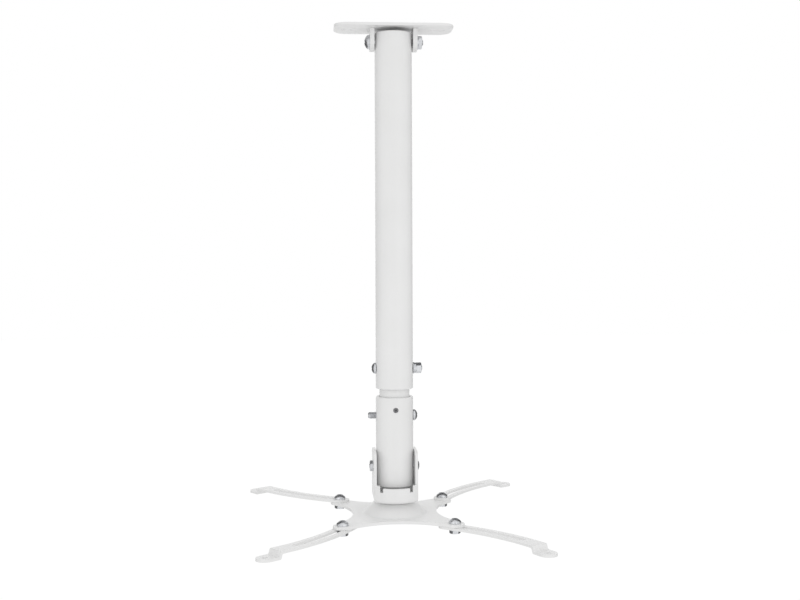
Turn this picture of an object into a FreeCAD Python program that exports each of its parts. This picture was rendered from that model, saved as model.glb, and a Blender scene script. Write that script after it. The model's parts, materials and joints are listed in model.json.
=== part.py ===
import FreeCAD, Part
import math
import os

# Projector ceiling mount: a slotted plate, a telescopic pole hung from a pivot, a tilting yoke, and a
# swivelling spider plate with four curved slotted arms. Millimetres; the origin is the middle of the
# plate's top face, which lies on the ceiling. +Z is up and the cross bolts lie along X.

# Ceiling plate and the two ears welded under it
plate_length = 102.0
plate_width = 40.0
plate_thickness = 2.5
plate_corner_radius = 12.0
screw_slot_spacing = 77.0
screw_slot_length = 12.0
screw_slot_width = 6.0
ear_thickness = 3.8
ear_width = 20.0
ear_drop = 8.2
ear_corner_radius = 9.5
ear_clearance = 0.5
pivot_drop = 10.7
pole_top_gap = 3.2

# Telescopic pole
tube_diameter = 32.0
inner_tube_diameter = 25.8
inner_tube_wall = 1.8
slide_clearance = 0.6
upper_tube_length = 304.7
tube_edge_chamfer = 0.5
clamp_height = 17.2
extension_travel = 220.0
inner_tube_head = 17.0
collar_gap = 6.9
sleeve_length = 75.8
sleeve_bolt_drop = 16.3
inner_tube_tail = 15.0
set_screw_drop = 10.3
set_screw_diameter = 4.5
set_screw_length = 5.0
set_screw_recess = 1.1
set_screw_socket = 2.2
set_screw_socket_depth = 2.0

# Tilting yoke, one drawn cup with two ears
tilt_axis_height = 16.2
yoke_wall = 2.3
yoke_clearance = 0.35
yoke_ear_width = 34.0
yoke_ear_rise = 14.1
yoke_ear_corner_radius = 7.0
cup_rim_drop = 15.6
cup_height = 12.7
cup_corner_radius = 2.5
cup_corner_rise = 2.0
relief_distance = 12.6
relief_width = 2.5
relief_depth = 3.4

# Swivel between yoke and spider
friction_washer_diameter = 30.0
friction_washer_thickness = 1.5

# Spider plate, one pressed sheet
sheet_thickness = 2.5
bolt_square = 92.2
lobe_radius = 8.0
waist_distance = 36.0
boss_height = 10.0
boss_top_diameter = 34.0
boss_base_diameter = 56.0
boss_bend_radius = 3.0

# Arms, four alike
arm_width = 14.5
arm_thickness = 2.0
arm_curve_radius = 200.0
arm_flat_length = 94.0
arm_slot_length = 74.0
foot_drop = 4.2
foot_slope = 70.0
foot_length = 15.5
foot_bend_radius = 1.5
foot_hole_diameter = 5.0

# How each arm is set: its swing from its corner's diagonal in degrees, and how far it is slid inwards
# from full reach
front_right_swing_angle = -5.4
front_right_slide = 7.1
back_right_swing_angle = 2.4
back_right_slide = 0.2
back_left_swing_angle = 2.8
back_left_slide = 1.3
front_left_swing_angle = 2.8
front_left_slide = 12.0

# The corner of the spider that each arm is on, its setting, and whether it lies on top of its lobe
diagonal_angle = 45.0
right_angle = 90.0
ARMS = {
    "front_right": (-diagonal_angle, front_right_swing_angle, front_right_slide, False),
    "back_right": (diagonal_angle, back_right_swing_angle, back_right_slide, True),
    "back_left": (diagonal_angle + right_angle, back_left_swing_angle, back_left_slide, True),
    "front_left": (-diagonal_angle - right_angle, front_left_swing_angle, front_left_slide, False),
}

# Fastener sizes by thread, and the shapes they share
m5_shank = 5.0
m5_head_diameter = 9.5
m5_head_height = 3.7
m5_low_head_height = 2.8
m5_wide_head_diameter = 10.0
m5_wide_head_height = 4.2
m5_nut_flats = 8.0
m5_nut_height = 4.7
m5_thin_nut_height = 2.7
m5_washer_diameter = 10.0
m5_washer_thickness = 1.0
m5_spring_washer_diameter = 9.2
m5_spring_washer_thickness = 1.5
m6_shank = 6.0
m6_head_diameter = 12.0
m6_head_height = 4.6
m6_low_head_diameter = 9.5
m6_low_head_height = 3.8
m6_nut_flats = 10.0
m6_nut_height = 3.2
m6_washer_diameter = 12.0
m6_washer_thickness = 1.2
m8_shank = 8.0
m8_head_diameter = 16.0
m8_head_height = 4.0
m8_nut_flats = 13.0
m8_nut_height = 6.5
m8_washer_diameter = 16.0
m8_washer_thickness = 1.6
bolt_end_chamfer = 0.6
clamp_bolt_end = 0.7
sleeve_bolt_end = 6.7
pivot_bolt_end = 1.0
tilt_bolt_end = 0.4
arm_bolt_end = 0.5
swivel_bolt_end = 0.7
head_rim_share = 0.4
recess_width_share = 0.13
recess_span_share = 0.52
recess_depth_share = 0.5
spring_washer_split = 0.9

# Clearances, all radial
running_clearance = 0.1
bolt_clearance = 0.2
slot_clearance = 0.25
thread_clearance = 0.05

# How near two points are to count as the same when edges are picked out for rounding
same_place = 0.01

# Levels, worked out downwards from the ceiling
plate_under = -plate_thickness
pivot_level = plate_under - pivot_drop
pole_top = plate_under - pole_top_gap
pole_bottom = pole_top - upper_tube_length
clamp_level = pole_bottom + clamp_height
sleeve_top = pole_bottom - collar_gap
sleeve_bolt_level = sleeve_top - sleeve_bolt_drop
set_screw_level = sleeve_top - set_screw_drop
sleeve_bottom = sleeve_top - sleeve_length
tilt_level = sleeve_bottom + tilt_axis_height
cup_rim = tilt_level - cup_rim_drop
cup_under = cup_rim - cup_height
cup_floor = cup_under + yoke_wall
boss_top = cup_under - friction_washer_thickness
spider_top = boss_top - boss_height
spider_under = spider_top - sheet_thickness

# Radii and reaches that follow from the sizes above
tube_radius = tube_diameter / 2
tube_bore_radius = inner_tube_diameter / 2 + slide_clearance
inner_tube_radius = inner_tube_diameter / 2
inner_tube_bore_radius = inner_tube_radius - inner_tube_wall
inner_slot_radius = m5_shank / 2 + slot_clearance
inner_slot_top = clamp_level + extension_travel
inner_tube_top = inner_slot_top + inner_slot_radius + inner_tube_head
inner_tube_bottom = sleeve_bolt_level - inner_tube_tail
ear_inner = tube_radius + ear_clearance
ear_outer = ear_inner + ear_thickness
yoke_inner = tube_radius + yoke_clearance
yoke_outer = yoke_inner + yoke_wall
cup_radius = math.hypot(yoke_outer, yoke_ear_width / 2)
lobe_offset = bolt_square / 2

X_AXIS = FreeCAD.Vector(1, 0, 0)
Y_AXIS = FreeCAD.Vector(0, 1, 0)
Z_AXIS = FreeCAD.Vector(0, 0, 1)


def at(x, y, z):
    return FreeCAD.Vector(x, y, z)


def save(node, shape):
    """Write one piece under its own name."""
    shape.exportStep("parts/" + node + ".step")


def placed(shape, point, axis):
    """Turn a piece made along +Z onto an axis and put its seat at a point."""
    copy = shape.copy()
    copy.Placement = FreeCAD.Placement(point, FreeCAD.Rotation(Z_AXIS, axis))
    return copy


def box(x0, x1, y0, y1, z0, z1):
    return Part.makeBox(x1 - x0, y1 - y0, z1 - z0, at(x0, y0, z0))


def rod(radius, start, axis, length):
    return Part.makeCylinder(radius, length, start, axis)


def cross_rod(radius, level):
    """A cutter along X through the whole pole and the ears beside it."""
    return rod(radius, at(-tube_diameter, 0, level), X_AXIS, 2 * tube_diameter)


def spun(points):
    """Revolve a closed profile of radius and height about Z."""
    outline = [at(radius, 0, height) for radius, height in points]
    face = Part.Face(Part.makePolygon(outline + outline[:1]))
    return face.revolve(at(0, 0, 0), Z_AXIS, 360)


def tube(outer, bore, bottom, top):
    """A cut length of tube with its outer edges broken."""
    edge = tube_edge_chamfer
    return spun([
        (bore, bottom), (outer - edge, bottom), (outer, bottom + edge),
        (outer, top - edge), (outer - edge, top), (bore, top)])


def washer(outer, bore, thickness):
    return spun([(bore, 0), (outer, 0), (outer, thickness), (bore, thickness)])


def split_washer(outer, bore, thickness):
    """A spring washer with its gap."""
    half_gap = spring_washer_split / 2
    gap = box(0, 2 * outer, -half_gap, half_gap, -thickness, 2 * thickness)
    return washer(outer, bore, thickness).cut(gap)


def hexagon(flats, height):
    """A six-sided prism with its corners turned off at both ends."""
    corner = flats / 2 / math.cos(math.radians(30))
    ring = [at(corner * math.cos(math.radians(60 * i)), corner * math.sin(math.radians(60 * i)), 0)
            for i in range(6)]
    prism = Part.Face(Part.makePolygon(ring + ring[:1])).extrude(at(0, 0, height))
    slope = (corner - flats / 2) * math.tan(math.radians(30))
    turned = spun([
        (0, 0), (flats / 2, 0), (corner, slope), (corner, height - slope), (flats / 2, height), (0, height)])
    return prism.common(turned)


def nut(flats, height, shank):
    hole = rod(shank / 2 + thread_clearance, at(0, 0, -height), Z_AXIS, 3 * height)
    return hexagon(flats, height).cut(hole)


def dome(diameter, height):
    """A domed head: a short straight rim under a round crown, seat at z = 0."""
    radius = diameter / 2
    rise = height * (1 - head_rim_share)
    crown_radius = (radius ** 2 + rise ** 2) / (2 * rise)
    crown = Part.makeSphere(crown_radius, at(0, 0, height - crown_radius))
    return rod(radius, at(0, 0, 0), Z_AXIS, 2 * height).common(crown)


def cross_recess(diameter, height):
    """The cutter for a cross slot in a pan head."""
    half_span = diameter * recess_span_share / 2
    half_width = diameter * recess_width_share / 2
    depth = height * recess_depth_share
    first = box(-half_span, half_span, -half_width, half_width, height - depth, height + depth)
    second = box(-half_width, half_width, -half_span, half_span, height - depth, height + depth)
    return first.fuse(second)


def shank_below(radius, length):
    """A plain shank that hangs below z = 0, with its end broken."""
    end = bolt_end_chamfer
    return spun([(0, 0), (radius, 0), (radius, end - length), (radius - end, -length), (0, -length)])


def pan_bolt(shank, head_diameter, head_height, length):
    head = dome(head_diameter, head_height).cut(cross_recess(head_diameter, head_height))
    return head.fuse(shank_below(shank / 2, length)).removeSplitter()


def round_ended_slot(length, width, depth):
    """A slot cutter along X, centred, going down from z = 0."""
    radius = width / 2
    reach = length / 2 - radius
    body = box(-reach, reach, -radius, radius, -depth, 0)
    for end in (-reach, reach):
        body = body.fuse(rod(radius, at(end, 0, -depth), Z_AXIS, depth))
    return body.removeSplitter()


def edges_along(shape, axis):
    """The straight edges of a block that run along an axis."""
    return [edge for edge in shape.Edges
            if edge.tangentAt(edge.FirstParameter).cross(axis).Length < same_place]


def upright_tab(near, far, width, root, tip, corner_radius):
    """A flat tab across X from a root level to a tip level, with the two corners of its tip rounded."""
    low, high = sorted((root, tip))
    block = box(near, far, -width / 2, width / 2, low, high)
    corners = [edge for edge in edges_along(block, X_AXIS) if abs(edge.CenterOfMass.z - tip) < same_place]
    return block.makeFillet(corner_radius, corners)


# Ceiling plate: a flat bar blank with rounded corners and one fixing slot near each end
def ceiling_plate():
    plate = box(-plate_length / 2, plate_length / 2, -plate_width / 2, plate_width / 2, plate_under, 0)
    plate = plate.makeFillet(plate_corner_radius, edges_along(plate, Z_AXIS))
    for side in (-1, 1):
        slot = round_ended_slot(screw_slot_length, screw_slot_width, 3 * plate_thickness)
        slot.translate(at(side * screw_slot_spacing / 2, 0, plate_thickness))
        plate = plate.cut(slot)
    return plate


# Ceiling ear: a flat tab with its lower corners rounded, welded upright under the plate
def ceiling_ear(side):
    near, far = sorted((side * ear_inner, side * ear_outer))
    tab = upright_tab(near, far, ear_width, plate_under, pivot_level - ear_drop, ear_corner_radius)
    return tab.cut(cross_rod(m6_shank / 2 + bolt_clearance, pivot_level))


# Upper tube: hangs on the pivot bolt, and the clamp bolt crosses its lower end
def upper_tube():
    body = tube(tube_radius, tube_bore_radius, pole_bottom, pole_top)
    body = body.cut(cross_rod(m6_shank / 2 + running_clearance, pivot_level))
    return body.cut(cross_rod(m5_shank / 2 + bolt_clearance, clamp_level))


# Inner tube: slides in the upper tube on a pair of long slots, and is pinned in the sleeve
def inner_tube():
    body = tube(inner_tube_radius, inner_tube_bore_radius, inner_tube_bottom, inner_tube_top)
    reach = 2 * inner_tube_radius
    slot = box(-reach, reach, -inner_slot_radius, inner_slot_radius, clamp_level, inner_slot_top)
    body = body.cut(slot)
    for level in (clamp_level, inner_slot_top):
        body = body.cut(cross_rod(inner_slot_radius, level))
    body = body.cut(cross_rod(m6_shank / 2 + bolt_clearance, sleeve_bolt_level))
    front_hole = rod(set_screw_diameter / 2 + bolt_clearance, at(0, 0, set_screw_level), -Y_AXIS, reach)
    return body.cut(front_hole)


# Lower sleeve: a short length of the same tube, bolted to the inner tube and hung in the yoke
def lower_sleeve():
    body = tube(tube_radius, tube_bore_radius, sleeve_bottom, sleeve_top)
    body = body.cut(cross_rod(m6_shank / 2 + thread_clearance, sleeve_bolt_level))
    body = body.cut(cross_rod(m5_shank / 2 + running_clearance, tilt_level))
    thread_radius = set_screw_diameter / 2 + thread_clearance
    return body.cut(rod(thread_radius, at(0, 0, set_screw_level), -Y_AXIS, tube_diameter))


# Set screw: a headless screw sunk in the front of the sleeve, with a hexagon socket
def sleeve_set_screw():
    body = shank_below(set_screw_diameter / 2, set_screw_length)
    socket = hexagon(set_screw_socket, 2 * set_screw_socket_depth)
    socket.translate(at(0, 0, -set_screw_socket_depth))
    return placed(body.cut(socket), at(0, set_screw_recess - tube_radius, set_screw_level), -Y_AXIS)


# Tilting yoke: a shallow drawn cup with flat sides, which rise into two round-cornered ears
def flattened_cup(radius, half_width, bottom, top):
    disc = rod(radius, at(0, 0, bottom), Z_AXIS, top - bottom)
    return disc.common(box(-half_width, half_width, -radius, radius, bottom, top))


def tilt_yoke():
    corner_top = cup_rim + cup_corner_rise
    above = corner_top + yoke_wall
    shell = flattened_cup(cup_radius, yoke_outer, cup_under, corner_top)
    lower_edges = [edge for edge in shell.Edges if edge.BoundBox.ZMax < cup_under + yoke_wall / 2]
    shell = shell.makeFillet(cup_corner_radius, lower_edges)
    shell = shell.cut(flattened_cup(cup_radius - yoke_wall, yoke_inner, cup_floor, above))
    # The front and back walls stop at the rim, and a relief notch parts each end from the ears' corners
    half_wall = relief_distance + relief_width / 2
    shell = shell.cut(box(-half_wall, half_wall, -cup_radius, cup_radius, cup_rim, above))
    for side in (-1, 1):
        near, far = sorted((side * (half_wall - relief_width), side * half_wall))
        shell = shell.cut(box(near, far, -cup_radius, cup_radius, cup_rim - relief_depth, above))
    ear_tip = tilt_level + yoke_ear_rise
    for near, far in ((-yoke_outer, -yoke_inner), (yoke_inner, yoke_outer)):
        shell = shell.fuse(upright_tab(near, far, yoke_ear_width, cup_rim, ear_tip, yoke_ear_corner_radius))
    shell = shell.removeSplitter()
    half_neck = m8_shank / 2 + bolt_clearance
    shell = shell.cut(box(-half_neck, half_neck, -half_neck, half_neck, cup_under - yoke_wall, cup_rim))
    return shell.cut(cross_rod(m5_shank / 2 + bolt_clearance, tilt_level))


# Swivel bolt: a round head inside the cup and a square neck that stops it turning there
def swivel_bolt():
    half_neck = m8_shank / 2
    neck = box(-half_neck, half_neck, -half_neck, half_neck, -yoke_wall, 0)
    length = (cup_floor - boss_top) + sheet_thickness + m8_washer_thickness + m8_nut_height + swivel_bolt_end
    body = dome(m8_head_diameter, m8_head_height).fuse(neck)
    body = body.fuse(shank_below(m8_shank / 2, length)).removeSplitter()
    return placed(body, at(0, 0, cup_floor), Z_AXIS)


# Spider plate: four bolt lobes joined by hollow sides, with a raised boss pressed in the middle
def spider_outline():
    """The wire of the plate's edge, made of one hollow arc and one lobe arc for each quarter."""
    inset = waist_distance - lobe_offset
    hollow_radius = (lobe_offset ** 2 + inset ** 2 - lobe_radius ** 2) / (2 * (lobe_radius - inset))
    hollow_centre = at(0, -(waist_distance + hollow_radius), 0)
    left_lobe = at(-lobe_offset, -lobe_offset, 0)
    right_lobe = at(lobe_offset, -lobe_offset, 0)
    start = left_lobe + (hollow_centre - left_lobe).normalize() * lobe_radius
    finish = right_lobe + (hollow_centre - right_lobe).normalize() * lobe_radius
    lobe_finish = at(-start.y, start.x, 0)
    outward = at(1, -1, 0).normalize()
    edges = []
    for quarter in range(4):
        turn = FreeCAD.Rotation(Z_AXIS, right_angle * quarter)
        corners = [start, at(0, -waist_distance, 0), finish]
        edges.append(Part.Arc(*[turn.multVec(point) for point in corners]).toShape())
        corners = [finish, right_lobe + outward * lobe_radius, lobe_finish]
        edges.append(Part.Arc(*[turn.multVec(point) for point in corners]).toShape())
    return Part.Wire(edges)


def lobe_point(corner, level):
    """The axis of one arm bolt at a level."""
    reach = lobe_offset * math.sqrt(2)
    angle = math.radians(corner)
    return at(reach * math.cos(angle), reach * math.sin(angle), level)


def spider_plate():
    sheet = Part.Face(spider_outline()).extrude(at(0, 0, -sheet_thickness))
    sheet.translate(at(0, 0, spider_top))
    base, top = boss_base_diameter / 2, boss_top_diameter / 2
    sheet = sheet.fuse(Part.makeCone(base, top, boss_height, at(0, 0, spider_top))).removeSplitter()
    circles = [edge for edge in sheet.Edges if isinstance(edge.Curve, Part.Circle)]
    bends = [edge for edge in circles if math.hypot(edge.Curve.Center.x, edge.Curve.Center.y) < same_place]
    sheet = sheet.makeFillet(boss_bend_radius, bends)
    sheet = sheet.cut(Part.makeCone(base, top, boss_height, at(0, 0, spider_under)))
    sheet = sheet.cut(rod(m8_shank / 2 + running_clearance, at(0, 0, spider_under), Z_AXIS, 2 * boss_height))
    for setting in ARMS.values():
        foot_of_hole = lobe_point(setting[0], spider_under)
        sheet = sheet.cut(rod(m5_shank / 2 + running_clearance, foot_of_hole, Z_AXIS, boss_height))
    return sheet


# Arm: a curved slotted strip, stepped down near its end to a round foot with a screw hole
def arc_point(radius, along):
    """A point at a distance along the arm's curve; the bolt is at the origin and the curve bends to -Y."""
    angle = along / arm_curve_radius
    return at(radius * math.sin(angle), radius * math.cos(angle) - arm_curve_radius, 0)


def curved_band(half_width, start, finish, round_finish):
    """A strip along the arm's curve, with a round start and a round or square finish."""
    inner, outer = arm_curve_radius - half_width, arm_curve_radius + half_width
    middle = (start + finish) / 2
    start_tip = arc_point(arm_curve_radius, start - half_width)
    finish_tip = arc_point(arm_curve_radius, finish + half_width)
    edges = [
        Part.Arc(arc_point(outer, start), arc_point(outer, middle), arc_point(outer, finish)).toShape(),
        Part.LineSegment(arc_point(outer, finish), arc_point(inner, finish)).toShape(),
        Part.Arc(arc_point(inner, finish), arc_point(inner, middle), arc_point(inner, start)).toShape(),
        Part.Arc(arc_point(inner, start), start_tip, arc_point(outer, start)).toShape()]
    if round_finish:
        edges[1] = Part.Arc(arc_point(outer, finish), finish_tip, arc_point(inner, finish)).toShape()
    return Part.Face(Part.Wire(edges)).extrude(at(0, 0, -arm_thickness))


foot_run = foot_drop / math.tan(math.radians(foot_slope))
foot_reach = foot_run + foot_length
foot_angle = -math.degrees(arm_flat_length / arm_curve_radius)
foot_start = arc_point(arm_curve_radius, arm_flat_length)
foot_direction = at(math.cos(math.radians(foot_angle)), math.sin(math.radians(foot_angle)), 0)
arm_tip = foot_start + foot_direction * foot_reach
arm_curve_centre = at(0, -arm_curve_radius, 0)


def slide_turn(slide):
    """The turn about the curve's centre, in degrees, that slides an arm inwards by a distance."""
    return math.degrees(slide / arm_curve_radius)


def chord_angle(slide):
    """The angle of the line from the bolt to the arm's tip when the arm is slid inwards."""
    turn = FreeCAD.Rotation(Z_AXIS, slide_turn(slide))
    tip = arm_curve_centre + turn.multVec(arm_tip - arm_curve_centre)
    return math.degrees(math.atan2(tip.y, tip.x))


def foot():
    """The stepped end, made along +X from the end of the curved strip."""
    half_width = arm_width / 2
    offset = arm_thickness * math.tan(math.radians(foot_slope / 2))
    overlap = 2 * offset
    profile = [
        at(0, 0, 0), at(foot_run, 0, -foot_drop), at(foot_reach, 0, -foot_drop),
        at(foot_reach, 0, -foot_drop - arm_thickness), at(foot_run - offset, 0, -foot_drop - arm_thickness),
        at(-offset, 0, -arm_thickness), at(-overlap, 0, -arm_thickness), at(-overlap, 0, 0)]
    body = Part.Face(Part.makePolygon(profile + profile[:1])).extrude(at(0, arm_width, 0))
    body.translate(at(0, -half_width, 0))
    bend_edges = []
    for edge in body.Edges:
        middle = edge.CenterOfMass
        for corner in (profile[0], profile[1], profile[4], profile[5]):
            if math.hypot(middle.x - corner.x, middle.y, middle.z - corner.z) < same_place:
                bend_edges.append(edge)
    body = body.makeFillet(foot_bend_radius, bend_edges)
    outline = box(-arm_flat_length, foot_reach - half_width, -half_width, half_width, -arm_width, arm_width)
    hole_at = at(foot_reach - half_width, 0, -arm_width)
    outline = outline.fuse(rod(half_width, hole_at, Z_AXIS, 2 * arm_width)).removeSplitter()
    body = body.common(outline)
    return body.cut(rod(foot_hole_diameter / 2, hole_at, Z_AXIS, 2 * arm_width))


def arm():
    """One arm at full reach, with its bolt point at the origin and its top at z = 0."""
    half_slot = m5_shank / 2 + slot_clearance
    strip = curved_band(arm_width / 2, 0, arm_flat_length, False)
    end = foot()
    end.Placement = FreeCAD.Placement(foot_start, FreeCAD.Rotation(Z_AXIS, foot_angle))
    body = strip.fuse(end).removeSplitter()
    return body.cut(curved_band(half_slot, 0, arm_slot_length, True))


def arm_levels(on_top):
    """Where an arm's top, its bolt's head and its washer come, when it lies on or under its lobe."""
    if on_top:
        return spider_top + arm_thickness, spider_top + arm_thickness, spider_under
    return spider_under, spider_top, spider_under - arm_thickness


def set_arm(corner, swing, slide, level):
    """One arm slid and swung on its bolt, with its top at a level."""
    body = arm()
    body.rotate(arm_curve_centre, Z_AXIS, slide_turn(slide))
    body.rotate(at(0, 0, 0), Z_AXIS, corner + swing - chord_angle(slide))
    body.translate(lobe_point(corner, level))
    return body


def build():
    os.makedirs("parts", exist_ok=True)

    # Ceiling bracket: the pivot bolt has its head on the left ear and its nut on the right one
    save("ceiling_plate", ceiling_plate())
    save("ceiling_ear_left", ceiling_ear(-1))
    save("ceiling_ear_right", ceiling_ear(1))
    grip = 2 * ear_outer + m6_washer_thickness + m6_nut_height + pivot_bolt_end
    bolt = pan_bolt(m6_shank, m6_head_diameter, m6_head_height, grip)
    save("ceiling_pivot_bolt", placed(bolt, at(-ear_outer, 0, pivot_level), -X_AXIS))
    ring = washer(m6_washer_diameter / 2, m6_shank / 2 + bolt_clearance, m6_washer_thickness)
    save("ceiling_pivot_washer", placed(ring, at(ear_outer, 0, pivot_level), X_AXIS))
    seat = at(ear_outer + m6_washer_thickness, 0, pivot_level)
    save("ceiling_pivot_nut", placed(nut(m6_nut_flats, m6_nut_height, m6_shank), seat, X_AXIS))

    # Upper pole: the clamp bolt has its head on the left and a washer stack on the right
    save("upper_tube", upper_tube())
    stack = m5_washer_thickness + m5_spring_washer_thickness
    grip = tube_diameter + stack + m5_nut_height + clamp_bolt_end
    bolt = pan_bolt(m5_shank, m5_head_diameter, m5_head_height, grip)
    save("clamp_bolt", placed(bolt, at(-tube_radius, 0, clamp_level), -X_AXIS))
    m5_bore = m5_shank / 2 + bolt_clearance
    m5_washer = washer(m5_washer_diameter / 2, m5_bore, m5_washer_thickness)
    m5_nut = nut(m5_nut_flats, m5_nut_height, m5_shank)
    save("clamp_washer", placed(m5_washer, at(tube_radius, 0, clamp_level), X_AXIS))
    ring = split_washer(m5_spring_washer_diameter / 2, m5_bore, m5_spring_washer_thickness)
    save("clamp_spring_washer", placed(ring, at(tube_radius + m5_washer_thickness, 0, clamp_level), X_AXIS))
    save("clamp_nut", placed(m5_nut, at(tube_radius + stack, 0, clamp_level), X_AXIS))

    # Lower pole: the sleeve bolt is screwed through from the right and its end stands out on the left
    save("inner_tube", inner_tube())
    save("lower_sleeve", lower_sleeve())
    bolt = pan_bolt(m6_shank, m6_low_head_diameter, m6_low_head_height, tube_diameter + sleeve_bolt_end)
    save("sleeve_bolt", placed(bolt, at(tube_radius, 0, sleeve_bolt_level), X_AXIS))
    save("sleeve_set_screw", sleeve_set_screw())

    # Yoke: the tilt bolt has a low head on the right ear and a thin nut on the left one
    save("tilt_yoke", tilt_yoke())
    grip = 2 * yoke_outer + m5_thin_nut_height + tilt_bolt_end
    bolt = pan_bolt(m5_shank, m5_head_diameter, m5_low_head_height, grip)
    save("tilt_bolt", placed(bolt, at(yoke_outer, 0, tilt_level), X_AXIS))
    thin_nut = nut(m5_nut_flats, m5_thin_nut_height, m5_shank)
    save("tilt_nut", placed(thin_nut, at(-yoke_outer, 0, tilt_level), -X_AXIS))
    save("swivel_bolt", swivel_bolt())
    ring = washer(friction_washer_diameter / 2, m8_shank / 2 + bolt_clearance, friction_washer_thickness)
    save("swivel_friction_washer", placed(ring, at(0, 0, cup_under), -Z_AXIS))
    ring = washer(m8_washer_diameter / 2, m8_shank / 2 + bolt_clearance, m8_washer_thickness)
    seat = boss_top - sheet_thickness
    save("swivel_washer", placed(ring, at(0, 0, seat), -Z_AXIS))
    seat = seat - m8_washer_thickness
    save("swivel_nut", placed(nut(m8_nut_flats, m8_nut_height, m8_shank), at(0, 0, seat), -Z_AXIS))

    # Spider, and on each lobe an arm held from above by a bolt, with a washer and a thin nut below
    save("spider_plate", spider_plate())
    grip = sheet_thickness + arm_thickness + m5_washer_thickness + m5_thin_nut_height + arm_bolt_end
    bolt = pan_bolt(m5_shank, m5_wide_head_diameter, m5_wide_head_height, grip)
    for name, (corner, swing, slide, on_top) in ARMS.items():
        arm_top, head_seat, washer_seat = arm_levels(on_top)
        nut_seat = washer_seat - m5_washer_thickness
        save("arm_bolt_" + name, placed(bolt, lobe_point(corner, head_seat), Z_AXIS))
        save("arm_" + name, set_arm(corner, swing, slide, arm_top))
        save("arm_washer_" + name, placed(m5_washer, lobe_point(corner, washer_seat), -Z_AXIS))
        save("arm_nut_" + name, placed(thin_nut, lobe_point(corner, nut_seat), -Z_AXIS))


build()
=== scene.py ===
import json
import math

import bmesh
import bpy
from mathutils import Matrix, Vector

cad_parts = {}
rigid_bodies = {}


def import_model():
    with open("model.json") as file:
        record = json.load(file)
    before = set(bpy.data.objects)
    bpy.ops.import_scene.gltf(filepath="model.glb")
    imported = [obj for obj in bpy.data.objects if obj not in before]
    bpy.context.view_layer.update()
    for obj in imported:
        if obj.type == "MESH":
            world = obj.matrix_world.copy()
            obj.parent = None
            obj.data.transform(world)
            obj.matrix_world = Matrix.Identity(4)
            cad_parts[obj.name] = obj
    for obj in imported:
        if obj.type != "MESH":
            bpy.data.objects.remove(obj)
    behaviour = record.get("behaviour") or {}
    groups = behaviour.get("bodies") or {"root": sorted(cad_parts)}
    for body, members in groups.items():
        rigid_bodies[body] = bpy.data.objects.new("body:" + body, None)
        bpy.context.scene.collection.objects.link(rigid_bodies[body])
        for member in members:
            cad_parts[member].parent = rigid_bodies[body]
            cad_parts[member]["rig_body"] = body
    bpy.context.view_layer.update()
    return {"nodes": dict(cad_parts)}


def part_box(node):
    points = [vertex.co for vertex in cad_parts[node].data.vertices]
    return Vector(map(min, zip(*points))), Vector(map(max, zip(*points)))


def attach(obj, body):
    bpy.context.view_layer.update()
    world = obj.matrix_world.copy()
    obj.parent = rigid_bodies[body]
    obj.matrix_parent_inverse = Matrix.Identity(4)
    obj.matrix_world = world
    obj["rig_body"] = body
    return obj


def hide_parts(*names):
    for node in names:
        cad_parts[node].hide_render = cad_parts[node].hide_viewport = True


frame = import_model()


# Ceiling plate: a blank cut from steel sheet with round corners and a screw slot near each end.
# It is powder coated white after welding, so the coat rounds every edge and has a faint orange peel.
class Wire:
    """One output of a node; arithmetic on it adds Math nodes to its graph."""

    def __init__(self, graph, socket):
        self.graph = graph
        self.socket = socket

    def maths(self, operation, first, second):
        return self.graph.add("ShaderNodeMath", {"operation": operation}, {0: first, 1: second})

    def __add__(self, other):
        return self.maths("ADD", self, other)

    def __mul__(self, other):
        return self.maths("MULTIPLY", self, other)

    def __sub__(self, other):
        return self.maths("SUBTRACT", self, other)

    def __rsub__(self, other):
        return self.maths("SUBTRACT", other, self)

    def __truediv__(self, other):
        return self.maths("DIVIDE", self, other)

    def __rtruediv__(self, other):
        return self.maths("DIVIDE", other, self)

    __radd__ = __add__
    __rmul__ = __mul__


class Graph:
    """A shader or geometry node tree, with one method that adds any node to it."""

    def __init__(self, tree):
        self.tree = tree

    def add(self, kind, settings, sockets, output=0):
        """Add a node, set it, feed its sockets, and give a wire from one of its outputs if it has any."""
        node = self.tree.nodes.new(kind)
        for name, value in settings.items():
            setattr(node, name, value)
        self.feed(node, sockets)
        return Wire(self, node.outputs[output]) if node.outputs else None

    def feed(self, node, sockets):
        """Link a wire, or each wire of a list, to its socket, and set any other value on it."""
        for key, value in sockets.items():
            for item in value if isinstance(value, list) else [value]:
                if isinstance(item, Wire):
                    self.tree.links.new(item.socket, node.inputs[key])
                else:
                    node.inputs[key].default_value = item

    def noise(self, place, per_metre, detail):
        """Noise with about this many patches to the metre."""
        return self.add("ShaderNodeTexNoise", {}, {"Vector": place, "Scale": per_metre, "Detail": detail})

    def between(self, factor, first, second):
        """A colour between two others, by a factor from nought to one."""
        sockets = {"Factor": factor, "A": first, "B": second}
        return self.add("ShaderNodeMix", {"data_type": "RGBA"}, sockets, "Result")


def new_finish(name):
    """A material with a Principled shader, its graph and the surface coordinates in metres."""
    material = bpy.data.materials.new(name)
    material.use_nodes = True
    graph = Graph(material.node_tree)
    shader = material.node_tree.nodes["Principled BSDF"]
    place = graph.add("ShaderNodeTexCoord", {}, {}, "Object")
    return material, graph, shader, place


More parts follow.
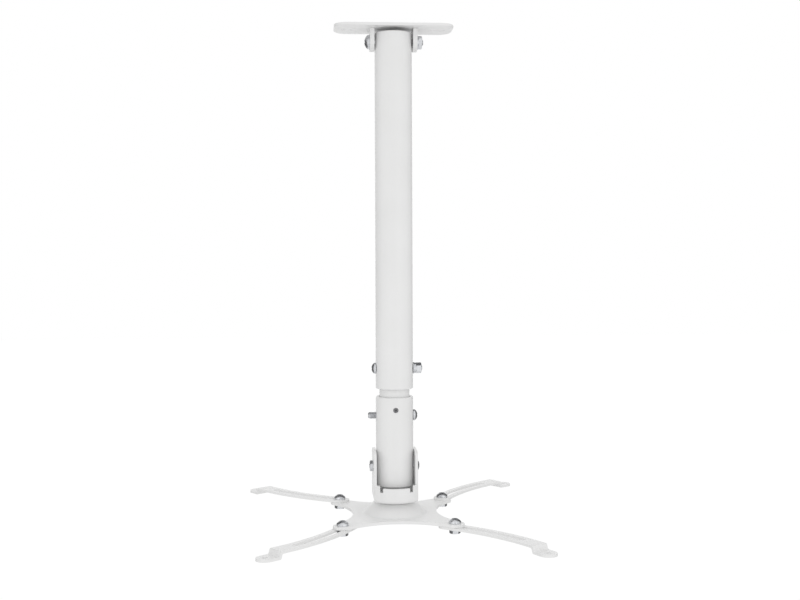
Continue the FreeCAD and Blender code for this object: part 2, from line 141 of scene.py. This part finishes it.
def powder_coat():
    """Satin white: slow drifts of film thickness, orange peel about 1.5 mm across and a fine grain."""
    material, graph, shader, place = new_finish("white_powder_coat")
    drift = graph.noise(place, per_metre=30.0, detail=2.0)
    peel = graph.noise(place, per_metre=650.0, detail=1.0)
    grain = graph.noise(place, per_metre=3200.0, detail=2.0)
    thin, thick = (0.79, 0.79, 0.785, 1.0), (0.85, 0.85, 0.85, 1.0)
    smoothest, unevenness = 0.34, 0.1
    peel_share = 0.75
    height = peel_share * peel + (1 - peel_share) * grain
    normal = graph.add("ShaderNodeBump", {}, {"Strength": 0.18, "Distance": 0.0002, "Height": height})
    graph.feed(shader, {"Base Color": graph.between(drift, thin, thick), "Normal": normal})
    graph.feed(shader, {"Roughness": smoothest + unevenness * drift, "IOR": 1.5})
    graph.feed(shader, {"Coat Weight": 0.15, "Coat Roughness": 0.3})
    return material


def in_scene(name, data):
    """A new object in the scene that holds this data."""
    thing = bpy.data.objects.new(name, data)
    bpy.context.scene.collection.objects.link(thing)
    return thing


same_point = 0.000002
flat_angle = math.radians(0.5)
sharp_angle = math.radians(32)


def settle(piece):
    """Turn a piece's modifiers into plain mesh."""
    evaluated = piece.evaluated_get(bpy.context.evaluated_depsgraph_get())
    mesh = bpy.data.meshes.new_from_object(evaluated)
    piece.modifiers.clear()
    piece.data = mesh
    return piece


def soft_edged(node, edge):
    """A copy of a solid with its triangles joined, flat faces made whole and sharp edges rounded."""
    mesh = frame["nodes"][node].data.copy()
    mesh.materials.clear()
    work = bmesh.new()
    work.from_mesh(mesh)
    bmesh.ops.remove_doubles(work, verts=work.verts, dist=same_point)
    bmesh.ops.dissolve_limit(work, angle_limit=flat_angle, verts=work.verts, edges=work.edges)
    work.to_mesh(mesh)
    work.free()
    mesh.shade_smooth()
    piece = in_scene(node + "_finished", mesh)
    bevel = piece.modifiers.new("edge", "BEVEL")
    bevel.width = edge
    bevel.segments = 2
    bevel.limit_method = "ANGLE"
    bevel.angle_limit = sharp_angle
    piece.modifiers.new("shading", "WEIGHTED_NORMAL")
    return settle(piece)


def stand_in(piece, node, material):
    """Give a piece its finish, and put it in a solid's place on the solid's own body."""
    piece.data.materials.clear()
    piece.data.materials.append(material)
    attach(piece, frame["nodes"][node]["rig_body"])
    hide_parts(node)


white = powder_coat()


def coated(node, edge):
    """A solid with its edges rounded under the white coat."""
    stand_in(soft_edged(node, edge), node, white)


sheet_edge = 0.0004
coated("ceiling_plate", sheet_edge)


# Ceiling ears: two flat steel tabs that carry the pivot bolt. Each is welded upright under the plate
# with a bead along its outer face, and the bead is coated white with the rest.
def geometry_graph(name, kinds):
    """A new geometry tree with a named input of each kind, and a wire from each of them."""
    tree = bpy.data.node_groups.new(name, "GeometryNodeTree")
    for label, kind in kinds.items():
        tree.interface.new_socket(label, in_out="INPUT", socket_type="NodeSocket" + kind)
    tree.interface.new_socket("Geometry", in_out="OUTPUT", socket_type="NodeSocketGeometry")
    graph = Graph(tree)
    return graph, [graph.add("NodeGroupInput", {}, {}, label) for label in kinds]


def weld_tree():
    """Overlapping drops along Y, each a little different, as a hand-laid bead has."""
    kinds = {"Length": "Float", "Radius": "Float", "Drops": "Int", "Finish": "Material"}
    graph, (length, radius, drops, finish) = geometry_graph("weld_bead", kinds)
    start = graph.add("ShaderNodeCombineXYZ", {}, {"Y": -0.5 * length})
    end = graph.add("ShaderNodeCombineXYZ", {}, {"Y": 0.5 * length})
    line = graph.add("GeometryNodeMeshLine", {"mode": "END_POINTS"},
                     {"Count": drops, "Start Location": start, "Offset": end})
    drop = graph.add("GeometryNodeMeshUVSphere", {}, {"Segments": 16, "Rings": 10, "Radius": radius})
    size = graph.add("FunctionNodeRandomValue", {"data_type": "FLOAT_VECTOR"},
                     {"Min": (0.9, 0.85, 0.9), "Max": (1.1, 1.15, 1.1), "Seed": 7})
    beads = graph.add("GeometryNodeInstanceOnPoints", {}, {"Points": line, "Instance": drop, "Scale": size})
    real = graph.add("GeometryNodeRealizeInstances", {}, {"Geometry": beads})
    smooth = graph.add("GeometryNodeSetShadeSmooth", {}, {"Geometry": real})
    painted = graph.add("GeometryNodeSetMaterial", {}, {"Geometry": smooth, "Material": finish})
    graph.add("NodeGroupOutput", {}, {"Geometry": painted})
    return graph.tree


def grown(name, tree, values):
    """The mesh that a geometry tree makes from its named inputs, as an object at the origin."""
    piece = in_scene(name, bpy.data.meshes.new(name))
    modifier = piece.modifiers.new("shape", "NODES")
    modifier.node_group = tree
    for socket in tree.interface.items_tree:
        if socket.in_out == "INPUT":
            modifier[socket.identifier] = values[socket.name]
    piece.update_tag()
    return settle(piece)


weld_bead = weld_tree()
bead_radius = 0.0013
bead_margin = 0.003
for side in ("left", "right"):
    node = "ceiling_ear_" + side
    coated(node, sheet_edge)
    low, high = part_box(node)
    outer_face = low.x if side == "left" else high.x
    bead_length = high.y - low.y - 2 * bead_margin
    drops = round(bead_length / bead_radius)
    sizes = {"Length": bead_length, "Radius": bead_radius, "Drops": drops, "Finish": white}
    bead = grown("weld_bead_" + side, weld_bead, sizes)
    bead.data.transform(Matrix.Translation((outer_face, 0, high.z)))
    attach(bead, "ceiling_bracket")


# Pivot bolt, washer and nut: zinc plated steel from stock. The bolt has a domed head with a cross
# recess on the left ear, and is held by a washer and a nut on the right one.
def bright_zinc():
    """Bright plating: slightly blue, cloudy in patches, with fine marks from tumbling."""
    material, graph, shader, place = new_finish("bright_zinc")
    cloud = graph.noise(place, per_metre=260.0, detail=3.0)
    marks = graph.noise(place, per_metre=2600.0, detail=2.0)
    dull, bright = (0.52, 0.53, 0.55, 1.0), (0.78, 0.79, 0.81, 1.0)
    smoothest, unevenness = 0.18, 0.2
    normal = graph.add("ShaderNodeBump", {}, {"Strength": 0.12, "Distance": 0.0001, "Height": marks})
    graph.feed(shader, {"Base Color": graph.between(cloud, dull, bright), "Normal": normal})
    graph.feed(shader, {"Roughness": smoothest + unevenness * cloud, "Metallic": 1.0})
    return material


def thread_tree():
    """A rolled thread up +Z: a helical ridge on a core, with a cone sunk a little into its free end."""
    kinds = {"Length": "Float", "Pitch": "Float", "Radius": "Float", "Finish": "Material"}
    graph, (length, pitch, radius, finish) = geometry_graph("rolled_thread", kinds)
    ridge = 0.5 * pitch
    core = radius - ridge
    body = length - ridge
    climb = body - ridge
    spiral = graph.add("GeometryNodeCurveSpiral", {}, {
        "Resolution": 40, "Rotations": climb / pitch, "Height": climb,
        "Start Radius": core, "End Radius": core})
    level = graph.add("GeometryNodeSetCurveNormal", {"mode": "Z_UP"}, {"Curve": spiral})
    section = graph.add("GeometryNodeCurvePrimitiveCircle", {}, {"Resolution": 4, "Radius": ridge})
    coil = graph.add("GeometryNodeCurveToMesh", {}, {
        "Curve": level, "Profile Curve": section, "Fill Caps": True})
    facets = 48
    sunk = 0.1 * ridge
    rod = graph.add("GeometryNodeMeshCylinder", {}, {
        "Vertices": facets, "Radius": core, "Depth": body + sunk})
    middle = graph.add("ShaderNodeCombineXYZ", {}, {"Z": 0.5 * (body - sunk)})
    rod = graph.add("GeometryNodeTransform", {}, {"Geometry": rod, "Translation": middle})
    tip_share = 0.8
    tip = graph.add("GeometryNodeMeshCone", {}, {
        "Vertices": facets, "Radius Top": tip_share * core, "Radius Bottom": core, "Depth": ridge + sunk})
    top = graph.add("ShaderNodeCombineXYZ", {}, {"Z": body - sunk})
    tip = graph.add("GeometryNodeTransform", {}, {"Geometry": tip, "Translation": top})
    joined = graph.add("GeometryNodeJoinGeometry", {}, {"Geometry": [coil, rod, tip]})
    real = graph.add("GeometryNodeRealizeInstances", {}, {"Geometry": joined})
    painted = graph.add("GeometryNodeSetMaterial", {}, {"Geometry": real, "Material": finish})
    graph.add("NodeGroupOutput", {}, {"Geometry": painted})
    return graph.tree


zinc = bright_zinc()
rolled_thread = thread_tree()
fastener_edge = 0.00015


def plated(node):
    """A fastener's solid with its edges rounded and zinc plated."""
    stand_in(soft_edged(node, fastener_edge), node, zinc)


def threaded_bolt(node, way, shank_radius, pitch, thread_length):
    """A bolt whose last stretch, on the side that way points to, is replaced by a real thread."""
    bolt = soft_edged(node, fastener_edge)
    low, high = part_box(node)
    middle = (low + high) / 2
    reach = max((high - middle).dot(way), (low - middle).dot(way))
    start = middle + way * (reach - thread_length)
    work = bmesh.new()
    work.from_mesh(bolt.data)
    cut = bmesh.ops.bisect_plane(work, geom=work.verts[:] + work.edges[:] + work.faces[:],
                                 plane_co=start, plane_no=way, clear_outer=True)
    rim = [item for item in cut["geom_cut"] if isinstance(item, bmesh.types.BMEdge)]
    bmesh.ops.holes_fill(work, edges=rim)
    sizes = {"Length": thread_length, "Pitch": pitch, "Radius": shank_radius, "Finish": zinc}
    thread = grown(node + "_thread", rolled_thread, sizes)
    thread.data.transform(Matrix.Translation(start) @ way.to_track_quat("Z", "Y").to_matrix().to_4x4())
    work.from_mesh(thread.data)
    work.to_mesh(bolt.data)
    work.free()
    bpy.data.objects.remove(thread)
    stand_in(bolt, node, zinc)


right, left, down = Vector((1, 0, 0)), Vector((-1, 0, 0)), Vector((0, 0, -1))
m6_radius, m6_pitch = 0.003, 0.001
pivot_thread_length = 0.004
threaded_bolt("ceiling_pivot_bolt", right, m6_radius, m6_pitch, pivot_thread_length)
for node in ("ceiling_pivot_washer", "ceiling_pivot_nut"):
    plated(node)


# Upper tube: a length of round steel tube, cut square and drilled across for the pivot and clamp bolts.
# Its ends are deburred before it is coated.
tube_edge = 0.0003
coated("upper_tube", tube_edge)


# Clamp bolt: crosses the upper tube and the slots of the inner tube, and pinches them together.
# A flat washer, a spring washer and a nut sit on its right end.
m5_radius, m5_pitch = 0.0025, 0.0008
clamp_thread_length = 0.0055
threaded_bolt("clamp_bolt", right, m5_radius, m5_pitch, clamp_thread_length)
for node in ("clamp_washer", "clamp_spring_washer", "clamp_nut"):
    plated(node)


# Inner tube: slides in the upper tube and shows only in the gap above the sleeve.
# Two long slots let it pass the clamp bolt.
coated("inner_tube", tube_edge)


# Lower sleeve: a short length of the outer tube, fixed to the inner tube by a cross bolt screwed right
# through it, and by a black socket set screw in a tapped hole at the front.
coated("lower_sleeve", tube_edge)
sleeve_thread_length = 0.009
threaded_bolt("sleeve_bolt", left, m6_radius, m6_pitch, sleeve_thread_length)


def black_oxide():
    """Thin black oxide on steel: dark grey where it has rubbed, with a dull sheen that varies a little."""
    material, graph, shader, place = new_finish("black_oxide")
    cloud = graph.noise(place, per_metre=900.0, detail=2.0)
    deep, worn = (0.14, 0.14, 0.145, 1.0), (0.38, 0.38, 0.39, 1.0)
    smoothest, unevenness = 0.35, 0.2
    graph.feed(shader, {"Base Color": graph.between(cloud, deep, worn)})
    graph.feed(shader, {"Roughness": smoothest + unevenness * cloud, "Metallic": 0.4})
    return material


stand_in(soft_edged("sleeve_set_screw", fastener_edge), "sleeve_set_screw", black_oxide())


# Tilting yoke: one drawn steel pressing, a shallow cup whose flat sides rise into two ears.
# The tilt bolt goes through both ears and the sleeve, with a thin nut on the left.
coated("tilt_yoke", sheet_edge)
tilt_thread_length = 0.003
threaded_bolt("tilt_bolt", left, m5_radius, m5_pitch, tilt_thread_length)
plated("tilt_nut")


# Swivel: a square-necked bolt hangs the spider under the yoke. A nylon washer lets it turn smoothly,
# and the steel washer and nut are inside the spider's boss.
def nylon():
    """Natural nylon: slightly warm and waxy, with faint moulding flow."""
    material, graph, shader, place = new_finish("white_nylon")
    flow = graph.noise(place, per_metre=180.0, detail=2.0)
    pale, warm = (0.82, 0.82, 0.8, 1.0), (0.77, 0.765, 0.74, 1.0)
    smoothest, unevenness = 0.42, 0.12
    graph.feed(shader, {"Base Color": graph.between(flow, pale, warm)})
    graph.feed(shader, {"Roughness": smoothest + unevenness * flow})
    return material


stand_in(soft_edged("swivel_friction_washer", fastener_edge), "swivel_friction_washer", nylon())
for node in ("swivel_bolt", "swivel_washer", "swivel_nut"):
    plated(node)


# Spider: one pressed steel sheet with a lobe at each corner, hollow sides and a raised boss in the middle.
# It is coated white on both faces.
coated("spider_plate", sheet_edge)


# Arms: four curved slotted steel strips, each stepped down to a round foot with a screw hole. The back two
# lie on top of the spider's lobes and the front two underneath. A domed bolt through the lobe and the slot
# clamps each one, with a washer and a nut at the bottom.
arm_thread_length = 0.003
for corner in ("front_right", "back_right", "back_left", "front_left"):
    coated("arm_" + corner, sheet_edge)
    threaded_bolt("arm_bolt_" + corner, down, m5_radius, m5_pitch, arm_thread_length)
    for node in ("arm_washer_" + corner, "arm_nut_" + corner):
        plated(node)


# Studio: the mount hangs in an even white room over a pale floor. Both are plain white to the camera and
# in mirrors, and light the mount a little less.
def emptied_graph(owner):
    """The node graph of a material or a world, with its first nodes taken out."""
    owner.use_nodes = True
    owner.node_tree.nodes.clear()
    return Graph(owner.node_tree)


def seen_directly(graph):
    """One for camera, mirror and see-through rays, and nought for the rays that light the object."""
    names = ("Is Camera Ray", "Is Glossy Ray", "Is Transmission Ray")
    camera_ray, mirror_ray, glass_ray = [graph.add("ShaderNodeLightPath", {}, {}, name) for name in names]
    either = camera_ray.maths("MAXIMUM", camera_ray, mirror_ray)
    return either.maths("MAXIMUM", either, glass_ray)


room_height = 2.4
floor_half = 30.0
floor_corners = [(-floor_half, -floor_half, -room_height), (floor_half, -floor_half, -room_height),
                 (floor_half, floor_half, -room_height), (-floor_half, floor_half, -room_height)]
floor_mesh = bpy.data.meshes.new("floor")
floor_mesh.from_pydata(floor_corners, [], [(0, 1, 2, 3)])
in_scene("floor", floor_mesh)
floor_material = bpy.data.materials.new("pale_floor")
floor_graph = emptied_graph(floor_material)
lit = floor_graph.add("ShaderNodeBsdfDiffuse", {}, {"Color": (0.86, 0.86, 0.86, 1.0)})
glow = floor_graph.add("ShaderNodeEmission", {}, {"Color": (1.0, 1.0, 1.0, 1.0), "Strength": 1.02})
glow_share = 0.97
seen_glow = glow_share * seen_directly(floor_graph)
mixed = floor_graph.add("ShaderNodeMixShader", {}, {0: seen_glow, 1: lit, 2: glow})
floor_graph.add("ShaderNodeOutputMaterial", {}, {"Surface": mixed})
floor_mesh.materials.append(floor_material)

world = bpy.data.worlds.new("white_room")
world_graph = emptied_graph(world)
room_light = 0.93
strength = room_light + (1 - room_light) * seen_directly(world_graph)
room = world_graph.add("ShaderNodeBackground", {}, {"Color": (1.0, 1.0, 1.0, 1.0), "Strength": strength})
world_graph.add("ShaderNodeOutputWorld", {}, {"Surface": room})
bpy.context.scene.world = world


# Flags: an arch of dark cloth behind the mount, with a side on the left and the right and one above. Only
# mirrors see it: it gives the plated steel its dark edges, as flags do in a real studio.
flag_side, flag_front, flag_back = 0.6, 0.0, 1.2
flag_low, flag_high = -0.9, 0.4
arch = [(-flag_side, flag_low), (-flag_side, flag_high), (flag_side, flag_high), (flag_side, flag_low)]
flag_corners = [(x, y, z) for x, z in arch for y in (flag_front, flag_back)]
flag_faces = [(first, first + 1, first + 3, first + 2) for first in (0, 2, 4)]
flag_mesh = bpy.data.meshes.new("flags")
flag_mesh.from_pydata(flag_corners, [], flag_faces)
flags = in_scene("flags", flag_mesh)
flags.visible_camera = False
flags.visible_diffuse = False
flags.visible_shadow = False
cloth, cloth_graph, cloth_shader, _ = new_finish("dark_cloth")
cloth_graph.feed(cloth_shader, {"Base Color": (0.16, 0.16, 0.16, 1.0), "Roughness": 1.0})
flag_mesh.materials.append(cloth)


# Lamps: two soft boxes in front of the mount. The key light stands on the right at the pole's height, and
# a weaker fill light, lower on the left, lifts the yoke and the spider.
def soft_box(name, place, target, size, power):
    """A square lamp of this size and power that faces its target."""
    lamp = bpy.data.lights.new(name, "AREA")
    lamp.shape = "SQUARE"
    lamp.size = size
    lamp.energy = power
    holder = in_scene(name, lamp)
    holder.location = place
    holder.rotation_euler = (Vector(target) - Vector(place)).to_track_quat("-Z", "Y").to_euler()


pole_middle, yoke_middle = (0.0, 0.0, -0.22), (0.0, 0.0, -0.38)
soft_box("key_light", place=(0.8, -1.45, -0.3), target=pole_middle, size=1.0, power=1.7)
soft_box("fill_light", place=(-0.75, -1.2, -0.6), target=yoke_middle, size=0.8, power=1.0)


# Camera: stands level, a little above the mount's middle and slightly to its left, as in the photograph.
# Its lens, place, shift and turn are worked out from pixels of the photograph.
image_width, image_height = 800.0, 600.0
focal_pixels = 1122.16
metres_per_pixel = 0.00086
axis_column, horizon_row = 393.9, 258.1
ceiling_above_horizon = 231.0
turn = math.radians(4.2)
roll = math.radians(-0.21)
camera_data = bpy.data.cameras.new("camera")
camera_data.sensor_width = 36.0
camera_data.lens = focal_pixels * camera_data.sensor_width / image_width
camera_data.shift_x = (image_width / 2 - axis_column) / image_width
camera_data.shift_y = (horizon_row - image_height / 2) / image_width
camera = in_scene("camera", camera_data)
distance = focal_pixels * metres_per_pixel
eye_level = -ceiling_above_horizon * metres_per_pixel
camera.location = (-distance * math.sin(turn), -distance * math.cos(turn), eye_level)
heading = Matrix.Rotation(-turn, 4, "Z") @ Matrix.Rotation(math.pi / 2, 4, "X")
camera.rotation_euler = (heading @ Matrix.Rotation(roll, 4, "Z")).to_euler()
bpy.context.scene.camera = camera
bpy.context.scene.view_settings.view_transform = "Standard"
